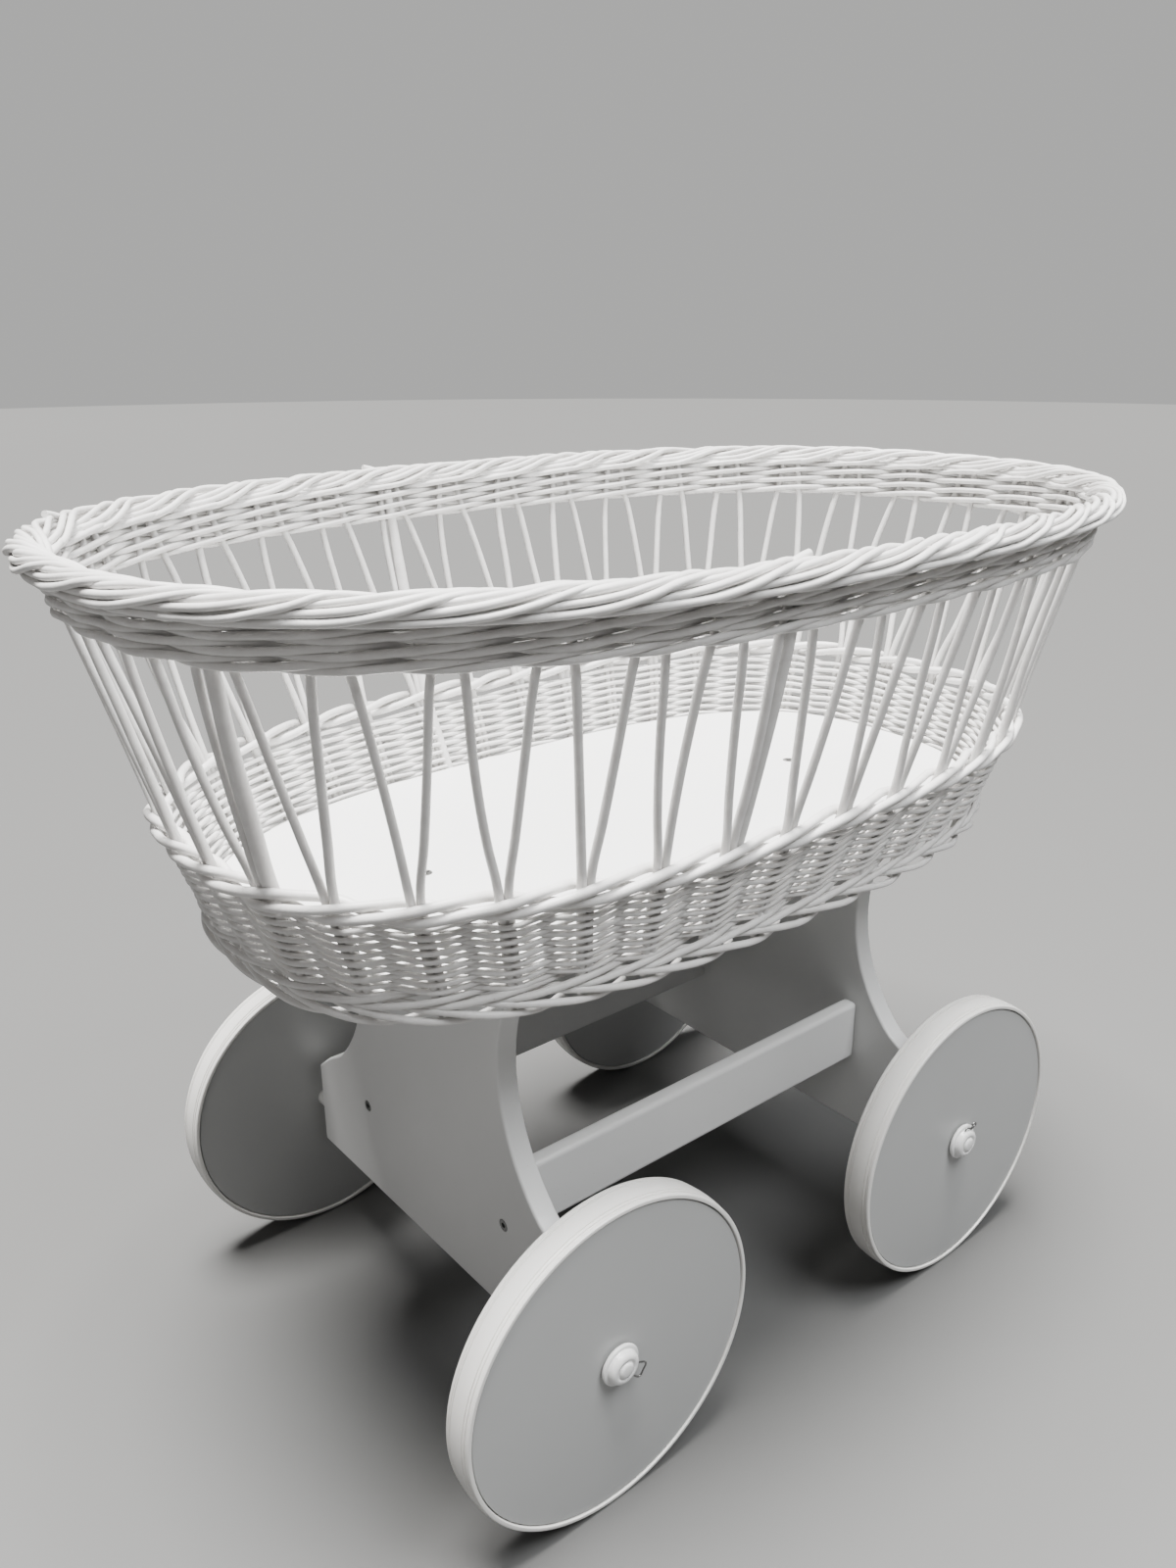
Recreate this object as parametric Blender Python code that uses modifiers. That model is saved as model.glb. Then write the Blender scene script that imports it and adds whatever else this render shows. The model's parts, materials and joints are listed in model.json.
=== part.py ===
"""Wicker bassinet on a rolling stand: an oval open-weave basket screwed to two shaped end
panels, which two stretchers tie together and four disc wheels carry on stub axles.
Metres, +Z up. X is the rolling direction, Y is the axle direction, and the origin is on the
floor under the middle of the basket."""

import math

import bmesh
import bpy
import numpy as np
from mathutils import Matrix, Vector

GAP = 0.0003  # clearance kept between touching pieces
CUT_PAST = 0.01  # of a cutter beyond the face that it opens

# Wheels: a thick disc in a moulded tyre, turning on a bush
WHEEL_RADIUS = 0.135
WHEEL_WIDTH = 0.0270
AXLE_X = 0.210
WHEEL_INNER_Y = 0.2075
DISC_RADIUS = 0.1300
DISC_WIDTH = 0.0250
TYRE_EDGE_ROUND = 0.0022
BUSH_RADIUS = 0.0065
BUSH_FLANGE_RADIUS = 0.0090
BUSH_FLANGE = 0.0010
WHEEL_STEPS = 36
FLAT_TO_TIP = 1.0 / math.cos(math.pi / WHEEL_STEPS)  # the tyre's flats touch the true circle
HUB_STEPS = 12

# Stub axles, the collar between wheel and panel, and the cap with its wire clip
AXLE_RADIUS = 0.0040
AXLE_IN_PANEL = 0.045
AXLE_PAST_WHEEL = 0.0085
GROOVE_RADIUS = 0.0029
GROOVE_WIDTH = 0.0022
AXLE_OUTER_EASE = 0.0006
AXLE_INNER_EASE = 0.0010
COLLAR_RADIUS = 0.0085
CAP_FLANGE_RADIUS = 0.0170
CAP_FLANGE = 0.0025
CAP_EASE = 0.0008
CAP_DOME_RADIUS = 0.0137
CAP_DOME_HEIGHT = 0.0094
CAP_DOME_ROUND = 0.0045
CAP_DOME_STEPS = 3
CAP_BUTTON_RADIUS = 0.0065
CAP_HEIGHT = 0.0110
CLIP_WIRE_RADIUS = 0.0007
CLIP_LEG_OFFSET = 0.0040
CLIP_HEIGHT = 0.0062  # of the clip above the wheel's outer face
CLIP_REACH = 0.0087  # of the clip's closed end past the cap's dome
CLIP_LEG_END = -0.0075  # of the clip's legs, past the axle
CLIP_CORNER = 0.0020
CLIP_TURNS = {"near_left": -35.0, "near_right": 78.0, "far_left": 40.0, "far_right": -70.0}

# End panels: a board with two concave sides, standing on the axles
PANEL_THICKNESS = 0.0190
PANEL_BOTTOM = 0.096
PANEL_TOP = 0.4386
PANEL_FOOT_HALF = 0.1965
SHOULDER_Z = 0.180
SHOULDER_BULGE = 0.0015
SIDE_ARC_Y = 0.2555
SIDE_ARC_Z = 0.3235
SIDE_ARC_RADIUS = 0.152
SIDE_ARC_LOW_Z = 0.212
ARC_STEPS = 14
PANEL_ROUND = 0.0020
FLAT_ANGLE = math.radians(0.5)

# Stretchers, their screws and dowels
STRETCHER_THICKNESS = 0.0155
STRETCHER_OUTER_Y = 0.1130
STRETCHER_BOTTOM = 0.170
STRETCHER_TOP = 0.2305
STRETCHER_ROUND = 0.0035
JOINT_SCREW_Z = 0.1815
JOINT_SCREW_RADIUS = 0.0033
JOINT_SCREW_HEAD_RADIUS = 0.0050
JOINT_SCREW_HEAD = 0.0030
JOINT_SCREW_LENGTH = 0.050
SOCKET_RADIUS = 0.0024
SOCKET_DEPTH = 0.0022
SCREW_TIP = 0.0040
DOWEL_Z = 0.2140
DOWEL_RADIUS = 0.0040
DOWEL_HALF = 0.0100
DOWEL_EASE = 0.0010

# Basket: ovals given as (half length, half width, squareness) and a height
FOOT_OVAL = (0.3600, 0.2035, 2.83)
FOOT_Z = 0.4265
FOOT_HALF_WIDTH = 0.0110
FOOT_HALF_HEIGHT = 0.0120
WALL_FOOT_OVAL = (0.3645, 0.2020, 2.83)
WALL_FOOT_Z = 0.4392
WALL_TOP_OVAL = (0.3885, 0.2285, 2.70)
WALL_TOP_Z = 0.5032
WALL_THICKNESS = 0.0120
WAIST_OVAL = (0.3915, 0.2320, 2.70)
WAIST_Z = 0.5125
WAIST_RADIUS = 0.0090
BAND_FOOT_OVAL = (0.4389, 0.2762, 2.50)
BAND_FOOT_Z = 0.6785
BAND_TOP_OVAL = (0.4440, 0.2810, 2.50)
BAND_TOP_Z = 0.7040
BAND_THICKNESS = 0.0130
RIM_OVAL = (0.4535, 0.2870, 2.50)
RIM_Z = 0.7143
RIM_HALF_WIDTH = 0.0195
RIM_HALF_HEIGHT = 0.0092
RING_STEPS = 48

# Stakes of the open band: a pair at each station, leaning apart as they rise
STATIONS = 36
FIRST_STATION = 19.27
CROWDING = 0.20  # how far the stations close up along the two long sides
CROWDING_MIDDLE = 6.5
TOP_SHIFT = 0.07
LEAN = 0.37
STAKE_RADIUS = 0.0027
STAKE_APART = 0.8 * STAKE_RADIUS  # of each stake of a pair from the pair's middle, at the foot
STAKE_FOOT_Z = 0.5236
POST_FOOT_Z = 0.5252
BINDER_Z = 0.6745
BINDER_RADIUS = 0.0033
BINDER_SHARE = 0.98  # of the way up from the waist's oval to the band's
POST_FOOT_RADIUS = 0.0054
POST_TOP_RADIUS = 0.0046
POSTS = {0: 1, 6: 1, 27: -1}  # station: the side of its pair that the thick post stands on
STAKE_GROUPS = ((1, 3), (4, 6), (7, 11), (12, 15), (16, 19), (20, 23), (24, 26), (27, 31), (32, 36))

# Base board and its two screws
BOARD_OVAL = (0.3570, 0.1945, 2.83)
BOARD_BOTTOM = 0.4389
BOARD_TOP = 0.4479
BOARD_SCREW_HEAD_RADIUS = 0.0055
BOARD_SCREW_HEAD = 0.0032
BOARD_SCREW_RADIUS = 0.0025
BOARD_SCREW_LENGTH = 0.045
BOARD_SCREW_SLOT = 0.0011
BOARD_SCREW_SLOT_REACH = 0.0066
BOARD_SCREW_SLOT_HEIGHT = 0.0030

SIDES = {"near": -1, "far": 1}
ENDS = {"left": -1, "right": 1}


def clear_scene():
    for obj in list(bpy.data.objects):
        bpy.data.objects.remove(obj, do_unlink=True)


def make_collection(name):
    collection = bpy.data.collections.new(name)
    bpy.context.scene.collection.children.link(collection)
    return collection


clear_scene()
PARTS = make_collection("bassinet_on_stand")
CUTTERS = make_collection("cutters")


def make_material(name, colour, roughness, metallic=0.0):
    material = bpy.data.materials.new(name)
    material.use_nodes = True
    shader = material.node_tree.nodes["Principled BSDF"]
    shader.inputs["Base Color"].default_value = (*colour, 1.0)
    shader.inputs["Roughness"].default_value = roughness
    shader.inputs["Metallic"].default_value = metallic
    return material


WICKER = make_material("painted_willow", (0.80, 0.79, 0.77), 0.45)
LACQUER = make_material("lacquered_board", (0.74, 0.74, 0.73), 0.32)
DISC_FACE = make_material("wheel_disc_face", (0.62, 0.63, 0.62), 0.40)
TYRE_WHITE = make_material("moulded_tyre", (0.82, 0.80, 0.76), 0.38)
CAP_WHITE = make_material("moulded_cap", (0.85, 0.85, 0.84), 0.28)
STEEL = make_material("zinc_plated_steel", (0.55, 0.55, 0.54), 0.30, 1.0)
NYLON = make_material("nylon", (0.72, 0.72, 0.70), 0.42)
BEECH = make_material("beech_dowel", (0.60, 0.43, 0.27), 0.60)


def add_object(name, mesh, material, collection=PARTS):
    obj = bpy.data.objects.new(name, mesh)
    collection.objects.link(obj)
    if material is not None:
        mesh.materials.clear()
        mesh.materials.append(material)
    return obj


def smooth(mesh, angle=35.0):
    mesh.shade_smooth()
    mesh.set_sharp_from_angle(angle=math.radians(angle))


def turned(name, profile, material, steps=32, collection=PARTS):
    """A solid turned about Z from (radius, height) points that run down its outer side."""
    mesh = bpy.data.meshes.new(name)
    points = [(radius, 0.0, height) for radius, height in profile]
    edges = [(i, i + 1) for i in range(len(points) - 1)]
    mesh.from_pydata(points, edges, [])
    obj = add_object(name, mesh, material, collection)
    screw = obj.modifiers.new("turn", "SCREW")
    screw.steps = steps
    screw.render_steps = steps
    screw.use_merge_vertices = True
    screw.merge_threshold = 0.00001
    screw.use_smooth_shade = False
    return obj


def as_mesh(obj):
    """The object with its modifiers or its curve made into a plain welded mesh."""
    graph = bpy.context.evaluated_depsgraph_get()
    mesh = bpy.data.meshes.new_from_object(obj.evaluated_get(graph))
    bm = bmesh.new()
    bm.from_mesh(mesh)
    bmesh.ops.remove_doubles(bm, verts=bm.verts, dist=0.00001)
    bm.to_mesh(mesh)
    bm.free()
    made = bpy.data.objects.new(obj.name + "_mesh", mesh)
    made.matrix_world = obj.matrix_world.copy()
    for collection in obj.users_collection:
        collection.objects.link(made)
    name = obj.name
    bpy.data.objects.remove(obj, do_unlink=True)
    made.name = name
    return made


def hide_cutter(obj):
    obj.hide_render = True
    obj.display_type = "WIRE"


def cylinder_cutter(name, radius, start, end, segments=10):
    """A cylinder between two points, as a cutter."""
    start = Vector(start)
    end = Vector(end)
    bm = bmesh.new()
    length = (end - start).length
    bmesh.ops.create_cone(
        bm, cap_ends=True, segments=segments, radius1=radius, radius2=radius, depth=length
    )
    turn = (end - start).to_track_quat("Z", "Y").to_matrix().to_4x4()
    bmesh.ops.transform(bm, matrix=Matrix.Translation((start + end) / 2) @ turn, verts=bm.verts)
    mesh = bpy.data.meshes.new(name)
    bm.to_mesh(mesh)
    bm.free()
    obj = add_object(name, mesh, None, CUTTERS)
    hide_cutter(obj)
    return obj


def boolean(obj, other, operation="DIFFERENCE"):
    modifier = obj.modifiers.new(operation.lower(), "BOOLEAN")
    modifier.operation = operation
    modifier.solver = "EXACT"
    modifier.object = other


def place(obj, location, rotation=(0.0, 0.0, 0.0)):
    obj.location = location
    obj.rotation_euler = rotation


def flat_outline(name, points, thickness, material):
    """A closed outline of (x, y) points, extruded to a thickness centred on its plane."""
    curve = bpy.data.curves.new(name, "CURVE")
    curve.dimensions = "2D"
    curve.fill_mode = "BOTH"
    curve.extrude = thickness / 2
    spline = curve.splines.new("POLY")
    spline.points.add(len(points) - 1)
    for point, (x, y) in zip(spline.points, points):
        point.co = (x, y, 0.0, 1.0)
    spline.use_cyclic_u = True
    obj = bpy.data.objects.new(name, curve)
    PARTS.objects.link(obj)
    curve.materials.append(material)
    return obj


def tube(name, points, radii, material, cyclic=False, resolution=2):
    """A round rod along a list of points, with a radius at each."""
    curve = bpy.data.curves.new(name, "CURVE")
    curve.dimensions = "3D"
    curve.bevel_depth = 1.0
    curve.bevel_resolution = resolution
    curve.use_fill_caps = not cyclic
    spline = curve.splines.new("POLY")
    spline.points.add(len(points) - 1)
    for point, place_at, radius in zip(spline.points, points, radii):
        point.co = (*place_at, 1.0)
        point.radius = radius
    spline.use_cyclic_u = cyclic
    obj = bpy.data.objects.new(name, curve)
    PARTS.objects.link(obj)
    curve.materials.append(material)
    return obj


# ---- the basket's ovals -------------------------------------------------------------------


def oval_points(oval, fractions):
    """Points (x, y) on a squarish oval at fractions of its length, counted from +X towards +Y."""
    half_length, half_width, squareness = oval
    angle = np.linspace(0.0, 2.0 * np.pi, 1441)
    reach = (
        np.abs(np.cos(angle) / half_length) ** squareness
        + np.abs(np.sin(angle) / half_width) ** squareness
    ) ** (-1.0 / squareness)
    x = reach * np.cos(angle)
    y = reach * np.sin(angle)
    run = np.concatenate([[0.0], np.cumsum(np.hypot(np.diff(x), np.diff(y)))])
    wanted = np.mod(np.asarray(fractions, float), 1.0) * run[-1]
    return np.stack([np.interp(wanted, run, x), np.interp(wanted, run, y)], axis=1)


def between(low, high, share):
    return tuple(a + (b - a) * share for a, b in zip(low, high))


def ring_fractions():
    return [i / RING_STEPS for i in range(RING_STEPS)]


def tube_ring(name, oval, height, half_width, half_height):
    """A closed ring of elliptical section that follows an oval."""
    points = [(x, y, 0.0) for x, y in oval_points(oval, ring_fractions())]
    ring = tube(name, points, [half_width] * RING_STEPS, WICKER, cyclic=True)
    ring.location.z = height
    ring.scale.z = half_height / half_width
    return ring


def wall_ring(name, low_oval, low_z, high_oval, high_z, thickness):
    """A flared wall between two ovals: one open surface, made solid by its thickness."""
    bm = bmesh.new()
    for oval, height in ((low_oval, low_z), (high_oval, high_z)):
        loop = [bm.verts.new((x, y, height)) for x, y in oval_points(oval, ring_fractions())]
        for i, vertex in enumerate(loop):
            bm.edges.new((vertex, loop[(i + 1) % RING_STEPS]))
    bmesh.ops.bridge_loops(bm, edges=bm.edges[:])
    bmesh.ops.recalc_face_normals(bm, faces=bm.faces)
    mesh = bpy.data.meshes.new(name)
    bm.to_mesh(mesh)
    bm.free()
    obj = add_object(name, mesh, WICKER)
    solidify = obj.modifiers.new("wall", "SOLIDIFY")
    solidify.thickness = thickness
    solidify.offset = 0.0
    return obj


def make_basket_rings():
    tube_ring("foot_border", FOOT_OVAL, FOOT_Z, FOOT_HALF_WIDTH, FOOT_HALF_HEIGHT)
    wall_ring("lower_wall", WALL_FOOT_OVAL, WALL_FOOT_Z, WALL_TOP_OVAL, WALL_TOP_Z, WALL_THICKNESS)
    tube_ring("waist_wale", WAIST_OVAL, WAIST_Z, WAIST_RADIUS, WAIST_RADIUS)
    wall_ring("upper_band", BAND_FOOT_OVAL, BAND_FOOT_Z, BAND_TOP_OVAL, BAND_TOP_Z, BAND_THICKNESS)
    tube_ring("rim_border", RIM_OVAL, RIM_Z, RIM_HALF_WIDTH, RIM_HALF_HEIGHT)


# ---- stakes and posts ---------------------------------------------------------------------


def station_foot(station):
    """Fraction round the waist at which a station's pair of stakes stands."""
    turn = 2.0 * math.pi * (station - CROWDING_MIDDLE) / (STATIONS / 2)
    return (station + FIRST_STATION - CROWDING * math.cos(turn)) / STATIONS


def station_top(station, side):
    return (station + FIRST_STATION + TOP_SHIFT + side * LEAN) / STATIONS


def along(oval, fraction, offset):
    """A point of the oval, moved by an offset along the oval."""
    here, ahead = oval_points(oval, [fraction, fraction + 0.0005])
    step = (ahead - here) / np.linalg.norm(ahead - here)
    return here + step * offset


def stake_ends(station, side, foot_z, foot_offset, top_offset):
    foot_x, foot_y = along(WAIST_OVAL, station_foot(station), foot_offset)
    binder_oval = between(WAIST_OVAL, BAND_FOOT_OVAL, BINDER_SHARE)
    top_x, top_y = along(binder_oval, station_top(station, side), top_offset)
    return Vector((foot_x, foot_y, foot_z)), Vector((top_x, top_y, BINDER_Z))


def make_stake_group(number, first, last):
    """The stakes of a few stations, tied together at their tops by one thin binding rod."""
    name = f"stake_group_{number}"
    rods = []
    for station in range(first, last + 1):
        for side in (-1, 1):
            foot, top = stake_ends(station, side, STAKE_FOOT_Z, side * STAKE_APART, 0.0)
            rod = tube(f"{name}_rod", [foot, top], [STAKE_RADIUS] * 2, WICKER, resolution=1)
            rods.append(as_mesh(rod))
    binder_oval = between(WAIST_OVAL, BAND_FOOT_OVAL, BINDER_SHARE)
    start = station_top(first, -1)
    end = station_top(last, 1)
    steps = 2 * (last - first + 1)
    fractions = [start + (end - start) * i / steps for i in range(steps + 1)]
    points = [(x, y, BINDER_Z) for x, y in oval_points(binder_oval, fractions)]
    binder = as_mesh(tube(name, points, [BINDER_RADIUS] * len(points), WICKER, resolution=1))
    for rod in rods:
        PARTS.objects.unlink(rod)
        CUTTERS.objects.link(rod)
        hide_cutter(rod)
        boolean(binder, rod, "UNION")


def make_posts():
    """The few thick rods, each standing against one stake of its pair."""
    for number, (station, side) in enumerate(POSTS.items(), start=1):
        foot_offset = side * (STAKE_APART + STAKE_RADIUS + POST_FOOT_RADIUS + 2 * GAP)
        top_offset = side * (BINDER_RADIUS + POST_TOP_RADIUS + 2 * GAP)
        foot, top = stake_ends(station, side, POST_FOOT_Z, foot_offset, top_offset)
        radii = [POST_FOOT_RADIUS, POST_TOP_RADIUS]
        tube(f"thick_post_{number}", [foot, top], radii, WICKER, resolution=3)


# ---- base board ---------------------------------------------------------------------------


def make_base_board():
    thickness = BOARD_TOP - BOARD_BOTTOM
    points = oval_points(BOARD_OVAL, ring_fractions())
    curve = flat_outline("base_board", points, thickness, LACQUER)
    curve.location.z = (BOARD_TOP + BOARD_BOTTOM) / 2
    bpy.context.view_layer.update()
    board = as_mesh(curve)
    for end, sign in ENDS.items():
        x = sign * AXLE_X
        head = cylinder_cutter(
            f"board_head_hole_{end}",
            BOARD_SCREW_HEAD_RADIUS + GAP,
            (x, 0.0, BOARD_TOP - BOARD_SCREW_HEAD),
            (x, 0.0, BOARD_TOP + CUT_PAST),
            14,
        )
        shank = cylinder_cutter(
            f"board_shank_hole_{end}",
            BOARD_SCREW_RADIUS + GAP,
            (x, 0.0, BOARD_BOTTOM - CUT_PAST),
            (x, 0.0, BOARD_TOP),
        )
        boolean(board, head)
        boolean(board, shank)
        make_board_screw(end, x)


def make_board_screw(end, x):
    head_under = -BOARD_SCREW_HEAD + GAP
    profile = [
        (0.0, 0.0),
        (BOARD_SCREW_HEAD_RADIUS, 0.0),
        (BOARD_SCREW_HEAD_RADIUS, head_under * 0.5),
        (BOARD_SCREW_RADIUS, head_under),
        (BOARD_SCREW_RADIUS, -BOARD_SCREW_LENGTH + SCREW_TIP),
        (0.0, -BOARD_SCREW_LENGTH),
    ]
    screw = turned(f"board_screw_{end}", profile, STEEL, 14)
    place(screw, (x, 0.0, BOARD_TOP))
    for turn in (0.0, math.pi / 2):
        bm = bmesh.new()
        bmesh.ops.create_cube(bm, size=1.0)
        size = Matrix.Diagonal((BOARD_SCREW_SLOT_REACH, BOARD_SCREW_SLOT, BOARD_SCREW_SLOT_HEIGHT, 1.0))
        bmesh.ops.transform(bm, matrix=Matrix.Rotation(turn, 4, "Z") @ size, verts=bm.verts)
        mesh = bpy.data.meshes.new("slot")
        bm.to_mesh(mesh)
        bm.free()
        slot = add_object(f"board_screw_slot_{end}", mesh, None, CUTTERS)
        slot.location = (x, 0.0, BOARD_TOP)
        hide_cutter(slot)
        boolean(screw, slot)


# ---- stand --------------------------------------------------------------------------------


def panel_outline():
    """Half of the panel's outline from the bottom middle to the top middle, as (y, z)."""
    start = math.asin((SIDE_ARC_LOW_Z - SIDE_ARC_Z) / SIDE_ARC_RADIUS)
    end = math.asin((PANEL_TOP - SIDE_ARC_Z) / SIDE_ARC_RADIUS)
    arc = []
    for i in range(ARC_STEPS + 1):
        angle = start + (end - start) * i / ARC_STEPS
        y = SIDE_ARC_Y - SIDE_ARC_RADIUS * math.cos(angle)
        arc.append((y, SIDE_ARC_Z + SIDE_ARC_RADIUS * math.sin(angle)))
    shoulder_y = (PANEL_FOOT_HALF + arc[0][0]) / 2 + SHOULDER_BULGE
    shoulder_z = (SHOULDER_Z + SIDE_ARC_LOW_Z) / 2 + SHOULDER_BULGE
    corner = [(0.0, PANEL_BOTTOM), (PANEL_FOOT_HALF, PANEL_BOTTOM), (PANEL_FOOT_HALF, SHOULDER_Z)]
    return corner + [(shoulder_y, shoulder_z)] + arc + [(0.0, PANEL_TOP)]


def make_panel(end, sign):
    """A board cut to two concave sides, with its edges eased and its holes drilled."""
    half = panel_outline()
    outline = half + [(-y, z) for y, z in reversed(half[1:-1])]
    curve = flat_outline(f"end_panel_{end}", outline, PANEL_THICKNESS, LACQUER)
    place(curve, (sign * AXLE_X, 0.0, 0.0), (math.pi / 2, 0.0, math.pi / 2))
    bpy.context.view_layer.update()
    panel = as_mesh(curve)
    bm = bmesh.new()
    bm.from_mesh(panel.data)
    bmesh.ops.dissolve_limit(bm, angle_limit=FLAT_ANGLE, verts=bm.verts, edges=bm.edges)
    bm.to_mesh(panel.data)
    bm.free()
    ease = panel.modifiers.new("eased_edges", "BEVEL")
    ease.width = PANEL_ROUND
    ease.segments = 1
    ease.limit_method = "ANGLE"
    ease.angle_limit = math.radians(40.0)
    outer = sign * (AXLE_X + PANEL_THICKNESS / 2)
    inner = sign * (AXLE_X - PANEL_THICKNESS / 2)
    for side, y_sign in SIDES.items():
        tag = f"{end}_{side}"
        y = y_sign * (STRETCHER_OUTER_Y - STRETCHER_THICKNESS / 2)
        cutters = [
            cylinder_cutter(
                f"screw_hole_{tag}",
                JOINT_SCREW_RADIUS + GAP,
                (outer + sign * CUT_PAST, y, JOINT_SCREW_Z),
                (inner - sign * CUT_PAST, y, JOINT_SCREW_Z),
            ),
            cylinder_cutter(
                f"screw_head_hole_{tag}",
                JOINT_SCREW_HEAD_RADIUS + GAP,
                (outer + sign * CUT_PAST, y, JOINT_SCREW_Z),
                (outer - sign * JOINT_SCREW_HEAD, y, JOINT_SCREW_Z),
                14,
            ),
            cylinder_cutter(
                f"dowel_hole_{tag}",
                DOWEL_RADIUS + GAP,
                (inner - sign * CUT_PAST, y, DOWEL_Z),
                (inner + sign * (DOWEL_HALF + GAP), y, DOWEL_Z),
            ),
            cylinder_cutter(
                f"axle_hole_{tag}",
                AXLE_RADIUS + GAP,
                (sign * AXLE_X, y_sign * (PANEL_FOOT_HALF + CUT_PAST), WHEEL_RADIUS),
                (sign * AXLE_X, y_sign * (PANEL_FOOT_HALF - AXLE_IN_PANEL - GAP), WHEEL_RADIUS),
            ),
        ]
        for cutter in cutters:
            boolean(panel, cutter)
    top_hole = cylinder_cutter(
        f"board_screw_hole_{end}",
        BOARD_SCREW_RADIUS + GAP,
        (sign * AXLE_X, 0.0, PANEL_TOP + CUT_PAST),
        (sign * AXLE_X, 0.0, BOARD_TOP - BOARD_SCREW_LENGTH - 2 * GAP),
    )
    boolean(panel, top_hole)


def make_stretcher(side, y_sign):
    """A tall narrow board between the panels, its long edges rounded."""
    length = 2 * (AXLE_X - PANEL_THICKNESS / 2 - GAP)
    height = STRETCHER_TOP - STRETCHER_BOTTOM
    y = y_sign * (STRETCHER_OUTER_Y - STRETCHER_THICKNESS / 2)
    bm = bmesh.new()
    bmesh.ops.create_cube(bm, size=1.0)
    size = Matrix.Diagonal((length, STRETCHER_THICKNESS, height, 1.0))
    bmesh.ops.transform(bm, matrix=size, verts=bm.verts)
    long_edges = [edge for edge in bm.edges if abs(edge.verts[0].co.x - edge.verts[1].co.x) > height]
    bmesh.ops.bevel(bm, geom=long_edges, offset=STRETCHER_ROUND, segments=2, affect="EDGES")
    mesh = bpy.data.meshes.new(f"stretcher_{side}")
    bm.to_mesh(mesh)
    bm.free()
    stretcher = add_object(f"stretcher_{side}", mesh, LACQUER)
    stretcher.location = (0.0, y, (STRETCHER_TOP + STRETCHER_BOTTOM) / 2)
    for end, sign in ENDS.items():
        face = sign * (AXLE_X - PANEL_THICKNESS / 2)
        screw_end = face + sign * (PANEL_THICKNESS - JOINT_SCREW_LENGTH - 2 * GAP)
        dowel_end = face - sign * (DOWEL_HALF + GAP)
        tag = f"{side}_{end}"
        screw_hole = cylinder_cutter(
            f"stretcher_screw_hole_{tag}",
            JOINT_SCREW_RADIUS + GAP,
            (face + sign * CUT_PAST, y, JOINT_SCREW_Z),
            (screw_end, y, JOINT_SCREW_Z),
        )
        dowel_hole = cylinder_cutter(
            f"stretcher_dowel_hole_{tag}",
            DOWEL_RADIUS + GAP,
            (face + sign * CUT_PAST, y, DOWEL_Z),
            (dowel_end, y, DOWEL_Z),
        )
        boolean(stretcher, screw_hole)
        boolean(stretcher, dowel_hole)
        make_joint_screw(tag, face + sign * PANEL_THICKNESS, y, sign)
        make_dowel(tag, face, y)


def make_joint_screw(tag, outer_x, y, sign):
    """A furniture screw with a flat socket head, sunk flush in the panel's outer face."""
    head_under = -JOINT_SCREW_HEAD + GAP
    profile = [
        (0.0, -SOCKET_DEPTH),
        (SOCKET_RADIUS, -SOCKET_DEPTH),
        (SOCKET_RADIUS, 0.0),
        (JOINT_SCREW_HEAD_RADIUS, 0.0),
        (JOINT_SCREW_HEAD_RADIUS, head_under),
        (JOINT_SCREW_RADIUS, head_under),
        (JOINT_SCREW_RADIUS, -JOINT_SCREW_LENGTH + SCREW_TIP),
        (0.0, -JOINT_SCREW_LENGTH),
    ]
    screw = turned(f"joint_screw_{tag}", profile, STEEL, 10)
    place(screw, (outer_x, y, JOINT_SCREW_Z), (0.0, sign * math.pi / 2, 0.0))


def make_dowel(tag, face, y):
    profile = [
        (0.0, DOWEL_HALF),
        (DOWEL_RADIUS - DOWEL_EASE, DOWEL_HALF),
        (DOWEL_RADIUS, DOWEL_HALF - DOWEL_EASE),
        (DOWEL_RADIUS, DOWEL_EASE - DOWEL_HALF),
        (DOWEL_RADIUS - DOWEL_EASE, -DOWEL_HALF),
        (0.0, -DOWEL_HALF),
    ]
    dowel = turned(f"dowel_{tag}", profile, BEECH, 10)
    place(dowel, (face, y, DOWEL_Z), (0.0, math.pi / 2, 0.0))


# ---- wheels -------------------------------------------------------------------------------


def ring_profile(outer, inner, half):
    """A closed section between two radii, for a turned ring with its outer edges eased."""
    ease = TYRE_EDGE_ROUND
    return [
        (inner, half),
        (outer - ease, half),
        (outer, half - ease),
        (outer, ease - half),
        (outer - ease, -half),
        (inner, -half),
        (inner, half),
    ]


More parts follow.
